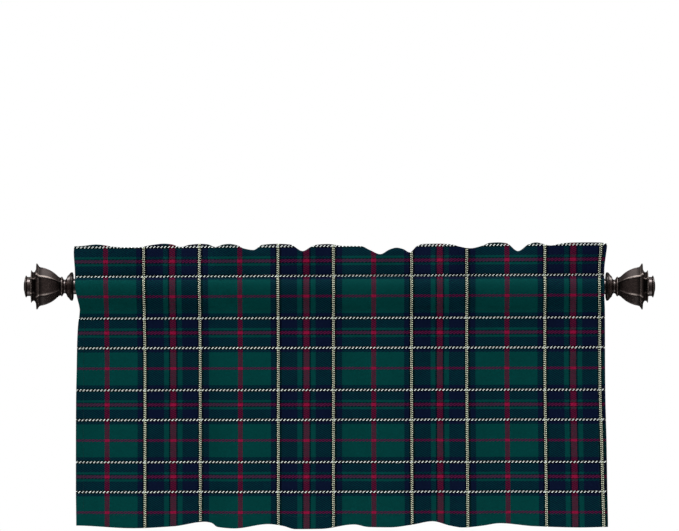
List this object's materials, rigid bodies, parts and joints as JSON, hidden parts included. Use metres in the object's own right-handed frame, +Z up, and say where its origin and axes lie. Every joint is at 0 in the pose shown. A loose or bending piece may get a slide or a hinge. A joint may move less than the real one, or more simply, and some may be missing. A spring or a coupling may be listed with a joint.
{
  "type": "window valance on a curtain rod",
  "caption": "Gathered tartan window valance with a ruffled heading and a rod pocket, hanging from a bronze rod with hexagonal bell finials.",
  "frame": {"origin": "middle of the rod's axis", "axes": "+X along the rod, to the right as seen from the room; +Y from the room towards the window; +Z up"},
  "size_m": [1.0294, 0.0658, 0.4674],
  "materials": {
    "tartan_cloth": "matte 2/2 twill, woven in green, navy, black and red with fine white and pale yellow lines",
    "rod_bronze": "satin dark bronze",
    "finial_bronze": "satin dark bronze, brushed, with edges worn light"
  },
  "bodies": {
    "root": {"valance": "tartan_cloth", "rod": "rod_bronze", "finial_left": "finial_bronze", "finial_right": "finial_bronze"}
  },
  "joints": []
}
